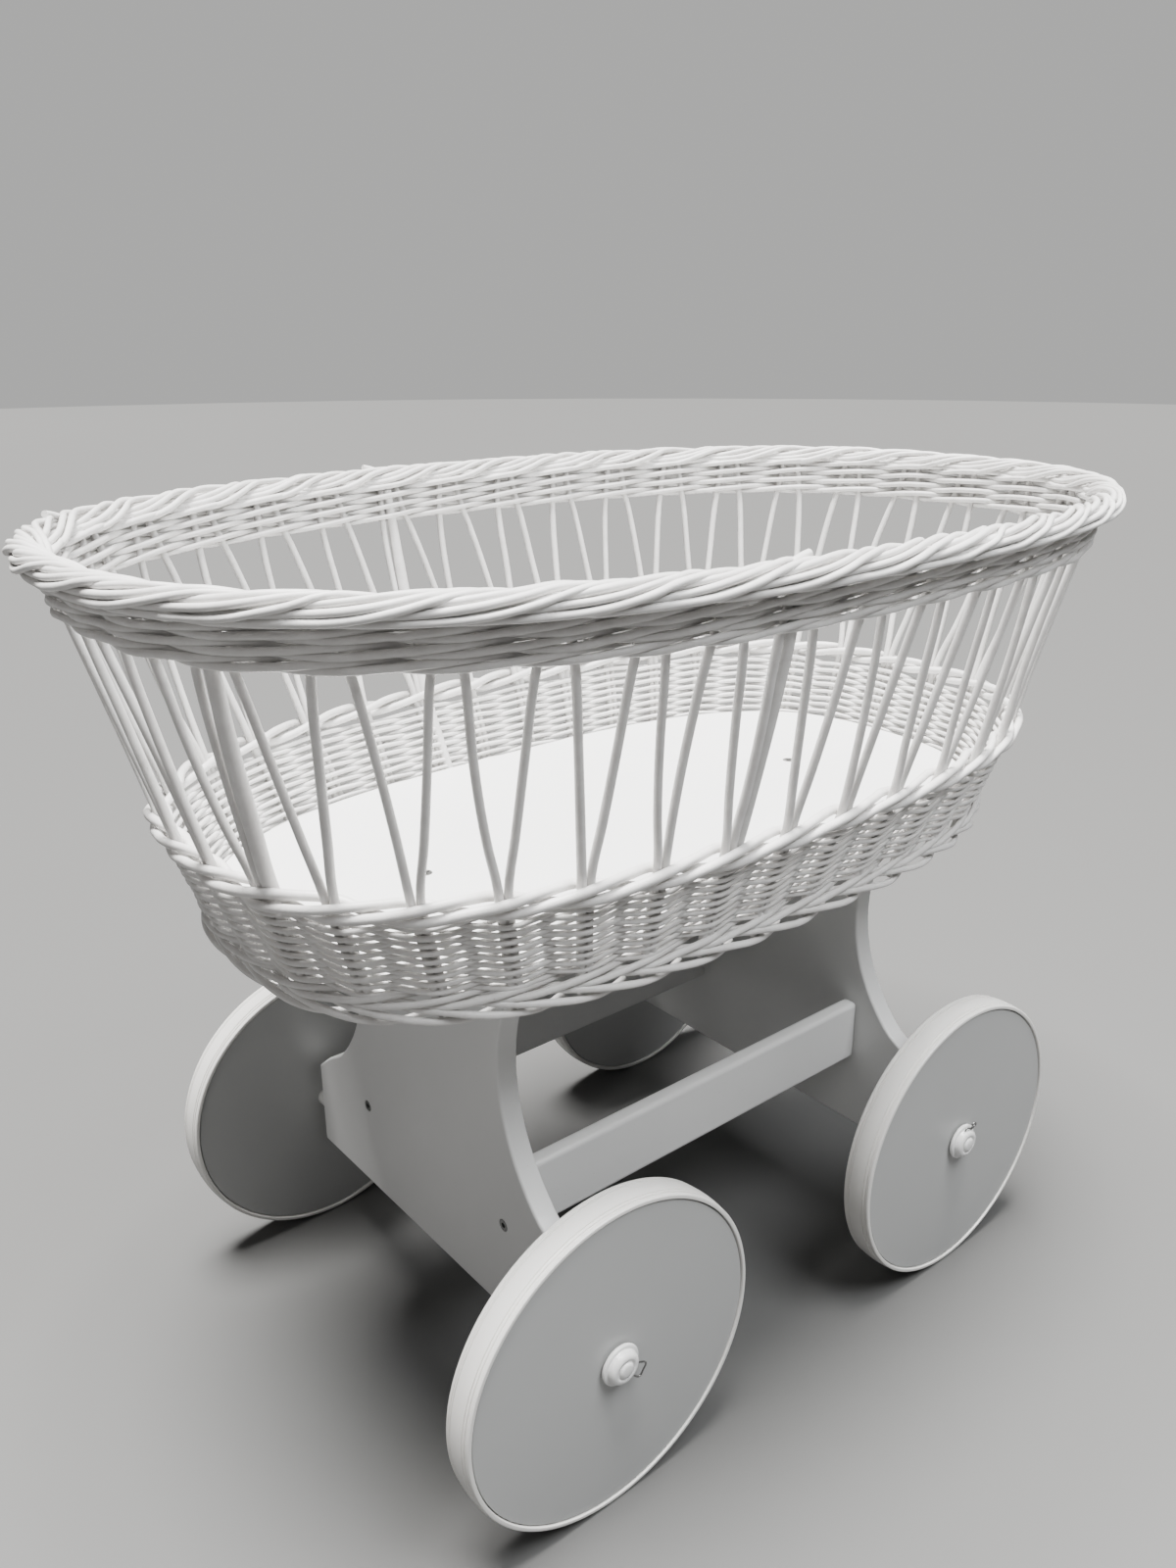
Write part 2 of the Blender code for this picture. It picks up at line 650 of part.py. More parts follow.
def make_wheel(side, y_sign, end, x_sign):
    """Tyre, disc and bush about one axle, each with its origin on the wheel's axis."""
    tag = f"{side}_{end}"
    hub = bpy.data.objects.new(f"wheel_hub_{tag}", None)
    PARTS.objects.link(hub)
    middle_y = y_sign * (WHEEL_INNER_Y + WHEEL_WIDTH / 2)
    place(hub, (x_sign * AXLE_X, middle_y, WHEEL_RADIUS), (-y_sign * math.pi / 2, 0.0, 0.0))
    tyre = turned(
        f"tyre_{tag}",
        ring_profile(WHEEL_RADIUS * FLAT_TO_TIP, DISC_RADIUS + GAP, WHEEL_WIDTH / 2),
        TYRE_WHITE,
        WHEEL_STEPS,
    )
    half = DISC_WIDTH / 2
    bore = BUSH_RADIUS + GAP
    disc_profile = [(bore, half), (DISC_RADIUS, half), (DISC_RADIUS, -half), (bore, -half), (bore, half)]
    disc = turned(f"wheel_disc_{tag}", disc_profile, DISC_FACE, WHEEL_STEPS)
    inner = AXLE_RADIUS + GAP
    flange = half + GAP + BUSH_FLANGE
    bush_profile = [
        (inner, half),
        (BUSH_RADIUS, half),
        (BUSH_RADIUS, -half - GAP),
        (BUSH_FLANGE_RADIUS, -half - GAP),
        (BUSH_FLANGE_RADIUS, -flange),
        (inner, -flange),
        (inner, half),
    ]
    bush = turned(f"bush_{tag}", bush_profile, NYLON, HUB_STEPS)
    for piece in (tyre, disc, bush):
        piece.parent = hub
    for piece in (tyre, disc):
        piece.rotation_euler.z = math.pi / WHEEL_STEPS


def make_axle_set(side, y_sign, end, x_sign):
    """The parts that stay still: stub axle, collar, cap and clip, along the axle's own Z."""
    tag = f"{side}_{end}"
    face_y = WHEEL_INNER_Y + WHEEL_WIDTH
    origin = (x_sign * AXLE_X, y_sign * face_y, WHEEL_RADIUS)
    turn = (-y_sign * math.pi / 2, 0.0, 0.0)
    root = -(face_y - PANEL_FOOT_HALF + AXLE_IN_PANEL)
    axle_profile = [
        (0.0, AXLE_PAST_WHEEL),
        (AXLE_RADIUS - AXLE_OUTER_EASE, AXLE_PAST_WHEEL),
        (AXLE_RADIUS, AXLE_PAST_WHEEL - AXLE_OUTER_EASE),
        (AXLE_RADIUS, CLIP_HEIGHT + GROOVE_WIDTH / 2),
        (GROOVE_RADIUS, CLIP_HEIGHT + GROOVE_WIDTH / 2),
        (GROOVE_RADIUS, CLIP_HEIGHT - GROOVE_WIDTH / 2),
        (AXLE_RADIUS, CLIP_HEIGHT - GROOVE_WIDTH / 2),
        (AXLE_RADIUS, root + AXLE_INNER_EASE),
        (AXLE_RADIUS - AXLE_INNER_EASE, root),
        (0.0, root),
    ]
    axle = turned(f"axle_{tag}", axle_profile, STEEL, HUB_STEPS)
    place(axle, origin, turn)
    collar_top = WHEEL_INNER_Y - face_y - 2 * GAP
    collar_bottom = PANEL_FOOT_HALF - face_y + GAP
    bore = AXLE_RADIUS + GAP
    collar_profile = [
        (bore, collar_top),
        (COLLAR_RADIUS, collar_top),
        (COLLAR_RADIUS, collar_bottom),
        (bore, collar_bottom),
        (bore, collar_top),
    ]
    collar = turned(f"collar_{tag}", collar_profile, NYLON, HUB_STEPS)
    place(collar, origin, turn)
    make_cap_and_clip(tag, origin, turn)


def make_cap_and_clip(tag, origin, turn):
    """A turned cap over the axle's end, and the wire clip that holds both together."""
    base = 2 * GAP
    profile = [
        (0.0, CAP_HEIGHT),
        (CAP_BUTTON_RADIUS - CAP_EASE, CAP_HEIGHT),
        (CAP_BUTTON_RADIUS, CAP_HEIGHT - CAP_EASE),
    ]
    shoulder = CAP_DOME_RADIUS - CAP_DOME_ROUND
    rise = CAP_DOME_HEIGHT - CAP_FLANGE
    for i in range(CAP_DOME_STEPS + 1):
        angle = math.pi / 2 * (1 - i / CAP_DOME_STEPS)
        profile.append(
            (shoulder + CAP_DOME_ROUND * math.cos(angle), CAP_FLANGE + rise * math.sin(angle))
        )
    bore = AXLE_RADIUS + GAP
    floor = AXLE_PAST_WHEEL + GAP
    profile += [
        (CAP_FLANGE_RADIUS - CAP_EASE, CAP_FLANGE),
        (CAP_FLANGE_RADIUS, CAP_FLANGE - CAP_EASE),
        (CAP_FLANGE_RADIUS, base),
        (bore, base),
        (bore, floor),
        (0.0, floor),
    ]
    cap = turned(f"hub_cap_{tag}", profile, CAP_WHITE, HUB_STEPS)
    place(cap, origin, turn)
    bpy.context.view_layer.update()
    clip_angle = math.radians(CLIP_TURNS[tag])
    frame = cap.matrix_world @ Matrix.Rotation(clip_angle, 4, "Z")
    outside = CAP_DOME_RADIUS + CLIP_REACH
    for leg in (-1, 1):
        start = frame @ Vector((CLIP_LEG_END - 2 * GAP, leg * CLIP_LEG_OFFSET, CLIP_HEIGHT))
        end = frame @ Vector((outside, leg * CLIP_LEG_OFFSET, CLIP_HEIGHT))
        hole = cylinder_cutter(f"clip_hole_{tag}_{leg}", CLIP_WIRE_RADIUS + GAP, start, end, 8)
        boolean(cap, hole)
    path = [
        (CLIP_LEG_END, -CLIP_LEG_OFFSET),
        (outside - CLIP_CORNER, -CLIP_LEG_OFFSET),
        (outside - CLIP_CORNER * 0.3, -CLIP_LEG_OFFSET + CLIP_CORNER * 0.3),
        (outside, -CLIP_LEG_OFFSET + CLIP_CORNER),
        (outside, CLIP_LEG_OFFSET - CLIP_CORNER),
        (outside - CLIP_CORNER * 0.3, CLIP_LEG_OFFSET - CLIP_CORNER * 0.3),
        (outside - CLIP_CORNER, CLIP_LEG_OFFSET),
        (CLIP_LEG_END, CLIP_LEG_OFFSET),
    ]
    points = [frame @ Vector((x, y, CLIP_HEIGHT)) for x, y in path]
    tube(f"wire_clip_{tag}", points, [CLIP_WIRE_RADIUS] * len(points), STEEL, resolution=1)


# ---- assembly -----------------------------------------------------------------------------

make_basket_rings()
for group_number, (group_first, group_last) in enumerate(STAKE_GROUPS, start=1):
    make_stake_group(group_number, group_first, group_last)
make_posts()
make_base_board()
for end_name, end_sign in ENDS.items():
    make_panel(end_name, end_sign)
for side_name, side_sign in SIDES.items():
    make_stretcher(side_name, side_sign)
    for end_name, end_sign in ENDS.items():
        make_wheel(side_name, side_sign, end_name, end_sign)
        make_axle_set(side_name, side_sign, end_name, end_sign)

bpy.context.view_layer.update()
for part in PARTS.objects:
    if part.type == "MESH":
        smooth(part.data)
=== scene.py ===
import json
import math

import bpy
import numpy as np
from mathutils import Matrix, Vector

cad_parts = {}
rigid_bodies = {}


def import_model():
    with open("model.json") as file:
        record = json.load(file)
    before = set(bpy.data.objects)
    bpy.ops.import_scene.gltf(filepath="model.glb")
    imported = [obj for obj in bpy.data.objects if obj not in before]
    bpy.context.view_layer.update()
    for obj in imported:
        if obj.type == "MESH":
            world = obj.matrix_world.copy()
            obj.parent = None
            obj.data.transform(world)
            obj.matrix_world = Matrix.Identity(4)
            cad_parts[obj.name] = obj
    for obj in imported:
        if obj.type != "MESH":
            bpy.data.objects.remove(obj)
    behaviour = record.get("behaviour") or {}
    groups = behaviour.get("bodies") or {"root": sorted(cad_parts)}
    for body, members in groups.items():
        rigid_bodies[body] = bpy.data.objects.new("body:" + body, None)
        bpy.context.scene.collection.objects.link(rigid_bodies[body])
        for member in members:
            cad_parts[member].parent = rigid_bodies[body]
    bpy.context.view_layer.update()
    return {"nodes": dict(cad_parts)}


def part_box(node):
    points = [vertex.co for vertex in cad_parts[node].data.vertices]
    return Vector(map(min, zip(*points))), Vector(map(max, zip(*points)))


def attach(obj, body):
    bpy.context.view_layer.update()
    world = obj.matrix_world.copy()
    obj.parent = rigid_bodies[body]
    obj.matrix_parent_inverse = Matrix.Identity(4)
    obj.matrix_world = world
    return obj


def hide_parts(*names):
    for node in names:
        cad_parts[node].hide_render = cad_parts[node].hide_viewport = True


for leftover in [obj for obj in bpy.data.objects if obj.name in ("Cube", "Light", "Camera")]:
    bpy.data.objects.remove(leftover, do_unlink=True)
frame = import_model()

# ==== Floor, light and camera =================================================================
# A plain matt floor under a soft light straight overhead, with a weak softbox at the left and a
# strong one high in front. The camera stands to the left and in front of the bassinet, looking
# down along its length.

CAMERA_PLACE = Vector((-0.6853, -0.7803, 0.8546))
CAMERA_AZIMUTH = math.radians(-39.38)
CAMERA_ELEVATION = math.radians(20.22)
CAMERA_ROLL = math.radians(-0.2)
CAMERA_LENS = 29.0
FLOOR_RADIUS = 14.0
LIGHTS_AIM = (0.0, 0.0, 0.4)
SKY_LIGHT = 0.07
SKY_SEEN = 0.62
CEILING_POWER = 17.0
CEILING_SPREAD = math.radians(28.0)
CEILING_TILT = (math.radians(-4.0), math.radians(-3.0), 0.0)


def deselect():
    if bpy.context.object and bpy.context.object.mode != "OBJECT":
        bpy.ops.object.mode_set(mode="OBJECT")
    bpy.ops.object.select_all(action="DESELECT")


def new_material(name, colour, roughness, metallic=0.0, specular=0.5):
    """A material whose Principled shader has its plain values set on its own sockets."""
    material = bpy.data.materials.new(name)
    material.use_nodes = True
    shader = material.node_tree.nodes["Principled BSDF"]
    shader.inputs["Base Color"].default_value = (*colour, 1.0)
    shader.inputs["Roughness"].default_value = roughness
    shader.inputs["Metallic"].default_value = metallic
    shader.inputs["Specular IOR Level"].default_value = specular
    return material, material.node_tree, shader


def add_node(tree, kind, values=None, **settings):
    """A node with its settings and input values given by name."""
    node = tree.nodes.new(kind)
    for key, value in settings.items():
        setattr(node, key, value)
    for key, value in (values or {}).items():
        if isinstance(value, bpy.types.NodeSocket):
            tree.links.new(value, node.inputs[key])
        else:
            node.inputs[key].default_value = value
    return node


def area_light(name, place, aim, size, power, colour=(1.0, 1.0, 1.0)):
    bpy.ops.object.light_add(type="AREA", location=place)
    light = bpy.context.object
    light.name = name
    light.data.shape = "SQUARE"
    light.data.size = size
    light.data.energy = power
    light.data.color = colour
    light.rotation_euler = (Vector(aim) - Vector(place)).to_track_quat("-Z", "Y").to_euler()


deselect()
bpy.ops.mesh.primitive_circle_add(vertices=64, radius=FLOOR_RADIUS, fill_type="NGON")
floor = bpy.context.object
floor.name = "studio_floor"
floor_material, floor_tree, floor_shader = new_material("pale_floor", (0.50, 0.50, 0.49), 0.75)
floor_grain = add_node(floor_tree, "ShaderNodeTexNoise", {"Scale": 3.0, "Detail": 6.0})
floor_tint = add_node(
    floor_tree,
    "ShaderNodeMix",
    {"Factor": floor_grain.outputs["Fac"], "A": (0.100, 0.100, 0.098, 1), "B": (0.110, 0.110, 0.108, 1)},
    data_type="RGBA",
)
floor_seen = add_node(floor_tree, "ShaderNodeLightPath")
floor_tone = add_node(
    floor_tree,
    "ShaderNodeMix",
    {"Factor": floor_seen.outputs["Is Camera Ray"], "A": (0.05, 0.05, 0.05, 1), "B": floor_tint.outputs[2]},
    data_type="RGBA",
)
floor_tree.links.new(floor_tone.outputs[2], floor_shader.inputs["Base Color"])
floor.data.materials.append(floor_material)

world = bpy.data.worlds.new("studio_air")
bpy.context.scene.world = world
world.use_nodes = True
sky = world.node_tree.nodes["Background"]
sky.inputs["Color"].default_value = (0.80, 0.80, 0.79, 1.0)
seen = add_node(world.node_tree, "ShaderNodeLightPath")
sky_power = add_node(
    world.node_tree,
    "ShaderNodeMapRange",
    {"Value": seen.outputs["Is Camera Ray"], "To Min": SKY_LIGHT, "To Max": SKY_SEEN},
)
world.node_tree.links.new(sky_power.outputs["Result"], sky.inputs["Strength"])
bpy.ops.object.light_add(type="SUN", location=(0.0, 0.0, 3.0), rotation=CEILING_TILT)
ceiling = bpy.context.object
ceiling.name = "ceiling_light"
ceiling.data.energy = CEILING_POWER
ceiling.data.angle = CEILING_SPREAD
ceiling.data.color = (1.0, 0.99, 0.975)
area_light("window_side", (-2.2, -0.8, 2.1), LIGHTS_AIM, 1.6, 9.0, (1.0, 0.98, 0.96))
area_light("front_softbox", (0.35, -1.45, 2.6), LIGHTS_AIM, 1.3, 92.0, (0.97, 0.985, 1.0))

back = Vector((
    math.sin(CAMERA_AZIMUTH) * math.cos(CAMERA_ELEVATION),
    -math.cos(CAMERA_AZIMUTH) * math.cos(CAMERA_ELEVATION),
    math.sin(CAMERA_ELEVATION),
))
level_right = Vector((math.cos(CAMERA_AZIMUTH), math.sin(CAMERA_AZIMUTH), 0.0))
level_up = back.cross(level_right)
right = math.cos(CAMERA_ROLL) * level_right + math.sin(CAMERA_ROLL) * level_up
up = math.cos(CAMERA_ROLL) * level_up - math.sin(CAMERA_ROLL) * level_right
bpy.ops.object.camera_add()
camera = bpy.context.object
camera.name = "viewing_camera"
camera.matrix_world = Matrix.Translation(CAMERA_PLACE) @ Matrix((right, up, back)).transposed().to_4x4()
camera.data.sensor_fit = "AUTO"
camera.data.sensor_width = 36.0
camera.data.lens = CAMERA_LENS
camera.data.clip_start = 0.01
bpy.context.scene.camera = camera

# ==== End panels ==============================================================================
# Two 19 mm fibreboard panels, cut to two concave sides, sprayed white, their edges eased by hand.
# They stand on the stub axles and carry the basket on their top edges.


def paint_group():
    """Tone, thin and height of a sprayed coat, from a position in metres."""
    group = bpy.data.node_groups.new("sprayed_coat", "ShaderNodeTree")
    socket = group.interface.new_socket
    socket("Position", in_out="INPUT", socket_type="NodeSocketVector")
    for name, value in (("Cloud Scale", 9.0), ("Peel Scale", 900.0), ("Speck Scale", 160.0)):
        socket(name, in_out="INPUT", socket_type="NodeSocketFloat").default_value = value
    for name in ("Tone", "Speck", "Height"):
        socket(name, in_out="OUTPUT", socket_type="NodeSocketFloat")
    enter = group.nodes.new("NodeGroupInput")
    leave = group.nodes.new("NodeGroupOutput")
    place = enter.outputs["Position"]
    cloud = add_node(
        group,
        "ShaderNodeTexNoise",
        {"Vector": place, "Scale": enter.outputs["Cloud Scale"], "Detail": 4.0, "Roughness": 0.6},
    )
    peel = add_node(
        group,
        "ShaderNodeTexNoise",
        {"Vector": place, "Scale": enter.outputs["Peel Scale"], "Detail": 2.0},
    )
    speck = add_node(
        group,
        "ShaderNodeTexVoronoi",
        {"Vector": place, "Scale": enter.outputs["Speck Scale"], "Randomness": 1.0},
    )
    speck_mask = add_node(
        group,
        "ShaderNodeMapRange",
        {"Value": speck.outputs["Distance"], "From Min": 0.02, "From Max": 0.09, "To Min": 1.0, "To Max": 0.0},
    )
    rare = add_node(
        group,
        "ShaderNodeMath",
        {0: speck.outputs["Color"], 1: 0.80},
        operation="GREATER_THAN",
    )
    speck_rare = add_node(
        group,
        "ShaderNodeMath",
        {0: speck_mask.outputs["Result"], 1: rare.outputs[0]},
        operation="MULTIPLY",
    )
    group.links.new(cloud.outputs["Fac"], leave.inputs["Tone"])
    group.links.new(speck_rare.outputs[0], leave.inputs["Speck"])
    group.links.new(peel.outputs["Fac"], leave.inputs["Height"])
    return group


SPRAYED_COAT = paint_group()


def sprayed_material(name, light, dark, speck, roughness, cloud_scale, bump, wander=0.05):
    """White paint: a cloudy tone between two whites, rare specks, and a faint orange peel."""
    material, tree, shader = new_material(name, light, roughness)
    where = add_node(tree, "ShaderNodeTexCoord")
    coat = tree.nodes.new("ShaderNodeGroup")
    coat.node_tree = SPRAYED_COAT
    tree.links.new(where.outputs["Object"], coat.inputs["Position"])
    coat.inputs["Cloud Scale"].default_value = cloud_scale
    spread = add_node(
        tree,
        "ShaderNodeMapRange",
        {"Value": coat.outputs["Tone"], "From Min": 0.32, "From Max": 0.68},
    )
    tone = add_node(
        tree,
        "ShaderNodeMix",
        {"Factor": spread.outputs["Result"], "A": (*dark, 1), "B": (*light, 1)},
        data_type="RGBA",
    )
    specked = add_node(
        tree,
        "ShaderNodeMix",
        {"Factor": coat.outputs["Speck"], "A": tone.outputs[2], "B": (*speck, 1)},
        data_type="RGBA",
    )
    gloss = add_node(
        tree,
        "ShaderNodeMapRange",
        {"Value": coat.outputs["Tone"], "To Min": roughness + wander, "To Max": roughness - wander},
    )
    relief = add_node(
        tree,
        "ShaderNodeBump",
        {"Strength": bump, "Distance": 0.0004, "Height": coat.outputs["Height"]},
    )
    tree.links.new(specked.outputs[2], shader.inputs["Base Color"])
    tree.links.new(gloss.outputs["Result"], shader.inputs["Roughness"])
    tree.links.new(relief.outputs["Normal"], shader.inputs["Normal"])
    return material


LACQUER = sprayed_material(
    "satin_lacquer",
    (0.80, 0.80, 0.79),
    (0.765, 0.765, 0.755),
    (0.60, 0.59, 0.57),
    0.34,
    6.0,
    0.10,
)
PANEL_X = 0.210
PANEL_HALF_THICK = 0.0095
PANEL_BOTTOM = 0.096
PANEL_TOP = 0.4386
PANEL_FOOT_HALF = 0.1965
SHOULDER_Z = 0.180
SHOULDER_BULGE = 0.0015
SIDE_ARC_Y = 0.2555
SIDE_ARC_Z = 0.3235
SIDE_ARC_RADIUS = 0.152
SIDE_ARC_LOW_Z = 0.212
SIDE_ARC_STEPS = 36
EDGE_EASE = 0.0022
LARGEST_SMOOTH_FACE = 0.001
JOINT_SCREW_Y = 0.10525
JOINT_SCREW_Z = 0.1815
JOINT_POCKET_RADIUS = 0.0054
JOINT_POCKET_DEPTH = 0.0031


def outline_board(name, points, axis, low, high, ease, material):
    """A board cut to an outline, from a circle of points, extruded from low to high along an axis."""
    deselect()
    bpy.ops.mesh.primitive_circle_add(vertices=len(points), radius=1.0, fill_type="NGON")
    board = bpy.context.object
    board.name = name
    for vertex, (first, second) in zip(board.data.vertices, points):
        vertex.co = (low, first, second) if axis == "X" else (first, second, low)
    bpy.ops.object.mode_set(mode="EDIT")
    bpy.ops.mesh.select_all(action="SELECT")
    rise = (high - low, 0.0, 0.0) if axis == "X" else (0.0, 0.0, high - low)
    bpy.ops.mesh.extrude_region_move(TRANSFORM_OT_translate={"value": rise})
    bpy.ops.mesh.select_all(action="SELECT")
    bpy.ops.mesh.normals_make_consistent(inside=False)
    bpy.ops.object.mode_set(mode="OBJECT")
    soften = board.modifiers.new("eased_edges", "BEVEL")
    soften.width = ease
    soften.segments = 4
    soften.limit_method = "ANGLE"
    soften.angle_limit = math.radians(50.0)
    bpy.ops.object.modifier_apply(modifier=soften.name)
    bpy.ops.object.shade_smooth_by_angle(angle=math.radians(30.0))
    board.data.materials.append(material)
    return board


def panel_outline():
    """The panel's outline as (y, z), counter-clockwise from the far bottom corner."""
    low = math.asin((SIDE_ARC_LOW_Z - SIDE_ARC_Z) / SIDE_ARC_RADIUS)
    high = math.asin((PANEL_TOP - SIDE_ARC_Z) / SIDE_ARC_RADIUS)
    half = [(PANEL_FOOT_HALF, PANEL_BOTTOM), (PANEL_FOOT_HALF, SHOULDER_Z)]
    arc = []
    for step in range(SIDE_ARC_STEPS + 1):
        angle = low + (high - low) * step / SIDE_ARC_STEPS
        arc_y = SIDE_ARC_Y - SIDE_ARC_RADIUS * math.cos(angle)
        arc_z = SIDE_ARC_Z + SIDE_ARC_RADIUS * math.sin(angle)
        arc.append((arc_y, arc_z))
    middle_y = (PANEL_FOOT_HALF + arc[0][0]) / 2 + SHOULDER_BULGE
    middle_z = (SHOULDER_Z + SIDE_ARC_LOW_Z) / 2 + SHOULDER_BULGE
    half += [(middle_y, middle_z)] + arc
    return half + [(-y, z) for y, z in reversed(half)]


def sink_pocket(board, middle, radius, depth, turn):
    """A round pocket for a screw's head, centred on the board's face."""
    deselect()
    bpy.ops.mesh.primitive_cylinder_add(
        vertices=32, radius=radius, depth=2 * depth, location=middle, rotation=turn
    )
    cutter = bpy.context.object
    pocket = board.modifiers.new("pocket", "BOOLEAN")
    pocket.object = cutter
    pocket.operation = "DIFFERENCE"
    pocket.solver = "EXACT"
    deselect()
    board.select_set(True)
    bpy.context.view_layer.objects.active = board
    bpy.ops.object.modifier_apply(modifier=pocket.name)
    bpy.data.objects.remove(cutter, do_unlink=True)
    for face in board.data.polygons:
        face.use_smooth = face.area < LARGEST_SMOOTH_FACE


for end, x in (("left", -PANEL_X), ("right", PANEL_X)):
    panel = outline_board(
        f"shaped_panel_{end}",
        panel_outline(),
        "X",
        x - PANEL_HALF_THICK,
        x + PANEL_HALF_THICK,
        EDGE_EASE,
        LACQUER,
    )
    outer_face = x + math.copysign(PANEL_HALF_THICK, x)
    for y in (-JOINT_SCREW_Y, JOINT_SCREW_Y):
        head = (outer_face, y, JOINT_SCREW_Z)
        sink_pocket(panel, head, JOINT_POCKET_RADIUS, JOINT_POCKET_DEPTH, (0.0, math.pi / 2, 0.0))
    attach(panel, "cradle")
    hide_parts(f"end_panel_{end}")

# ==== Stretchers ==============================================================================
# Two boards on edge that tie the panels together, near and far, their long edges rounded over.

STRETCHER_ROUND = 0.0045


def box_board(name, low, high, ease, material):
    """A board from a cube, its long edges rounded more than its ends."""
    deselect()
    low = Vector(low)
    high = Vector(high)
    bpy.ops.mesh.primitive_cube_add(size=1.0, location=(low + high) / 2, scale=high - low)
    board = bpy.context.object
    board.name = name
    bpy.ops.object.transform_apply(location=True, rotation=True, scale=True)
    bpy.ops.object.mode_set(mode="EDIT")
    bpy.ops.mesh.select_all(action="DESELECT")
    bpy.ops.object.mode_set(mode="OBJECT")
    for edge in board.data.edges:
        first, second = (board.data.vertices[i].co for i in edge.vertices)
        edge.select = abs(first.x - second.x) > 0.1
    bpy.ops.object.mode_set(mode="EDIT")
    bpy.ops.mesh.select_mode(type="EDGE")
    bpy.ops.mesh.bevel(offset=ease, segments=6, profile=0.5, affect="EDGES")
    bpy.ops.object.mode_set(mode="OBJECT")
    bpy.ops.object.shade_smooth_by_angle(angle=math.radians(30.0))
    board.data.materials.append(material)
    return board


for side in ("near", "far"):
    low_corner, high_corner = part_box(f"stretcher_{side}")
    stretcher = box_board(f"rounded_stretcher_{side}", low_corner, high_corner, STRETCHER_ROUND, LACQUER)
    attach(stretcher, "cradle")
    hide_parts(f"stretcher_{side}")

# ==== Base board ==============================================================================
# An oval of white fibreboard that closes the basket's bottom, held down by a screw over each panel.

BOARD_OVAL = (0.3570, 0.1945, 2.83)
BOARD_BOTTOM = 0.4389
BOARD_TOP = 0.4479
BOARD_POCKET_RADIUS = 0.0059
BOARD_POCKET_DEPTH = 0.0033
OVAL_SAMPLES = 2880


def oval_table(oval):
    """x and y all round a squarish oval, evenly spaced along it, from +X towards +Y."""
    half_length, half_width, squareness = oval
    angle = np.linspace(0.0, 2.0 * np.pi, OVAL_SAMPLES + 1)
    reach = (
        np.abs(np.cos(angle) / half_length) ** squareness
        + np.abs(np.sin(angle) / half_width) ** squareness
    ) ** (-1.0 / squareness)
    x = reach * np.cos(angle)
    y = reach * np.sin(angle)
    run = np.concatenate([[0.0], np.cumsum(np.hypot(np.diff(x), np.diff(y)))])
    even = np.linspace(0.0, run[-1], OVAL_SAMPLES + 1)
    return np.stack([np.interp(even, run, x), np.interp(even, run, y)], axis=1)


board_outline = oval_table(BOARD_OVAL)[:-1:15]
base_board = outline_board("oval_board", board_outline, "Z", BOARD_BOTTOM, BOARD_TOP, 0.0012, LACQUER)
for x in (-PANEL_X, PANEL_X):
    sink_pocket(base_board, (x, 0.0, BOARD_TOP), BOARD_POCKET_RADIUS, BOARD_POCKET_DEPTH, (0.0, 0.0, 0.0))
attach(base_board, "cradle")
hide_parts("base_board")

# ==== Willow rods =============================================================================
# The whole basket is woven from peeled willow rods, then sprayed white: they taper, wander a
# little, and show knots and the marks where side twigs were cut off.

WILLOW = sprayed_material(
    "painted_willow",
    (0.77, 0.76, 0.745),
    (0.66, 0.645, 0.63),
    (0.50, 0.45, 0.40),
    0.42,
    60.0,
    0.30,
    0.08,
)
STATIONS = 36
FIRST_STATION = 19.30
CROWDING = 0.20
CROWDING_MIDDLE = 6.5
LEVELS = (
    (0.4100, (0.3575, 0.1995, 2.83)),
    (0.4390, (0.3645, 0.2020, 2.83)),
    (0.5125, (0.3915, 0.2320, 2.70)),
    (0.6785, (0.4389, 0.2762, 2.50)),
    (0.7040, (0.4440, 0.2810, 2.50)),
    (0.7300, (0.4510, 0.2860, 2.50)),
)
LEVEL_HEIGHTS = np.array([height for height, oval in LEVELS])
LEVEL_POINTS = np.array([oval_table(oval) for height, oval in LEVELS])


def wall_points(turn, out, height, lean=0.0):
    """Points of the basket's wall at turns counted in stations, moved out of it and down by its lean."""
    turn, out, height = np.broadcast_arrays(*(np.asarray(a, float) for a in (turn, out, height)))
    height = height - lean * out
    place = np.mod(turn / STATIONS, 1.0) * OVAL_SAMPLES
    low = np.floor(place).astype(int) % OVAL_SAMPLES
    part = (place - np.floor(place))[:, None]
    level = np.clip(np.searchsorted(LEVEL_HEIGHTS, height) - 1, 0, len(LEVELS) - 2)
    rise = (height - LEVEL_HEIGHTS[level]) / (LEVEL_HEIGHTS[level + 1] - LEVEL_HEIGHTS[level])
    rise = rise[:, None]

    def at(index, which):
        return LEVEL_POINTS[which, index]

    here = at(low, level) * (1 - rise) + at(low, level + 1) * rise
    ahead = at(low + 1, level) * (1 - rise) + at(low + 1, level + 1) * rise
    along = ahead - here
    along /= np.linalg.norm(along, axis=1)[:, None]
    outward = np.stack([along[:, 1], -along[:, 0]], axis=1)
    flat = here * (1 - part) + ahead * part + outward * out[:, None]
    return np.concatenate([flat, height[:, None]], axis=1)


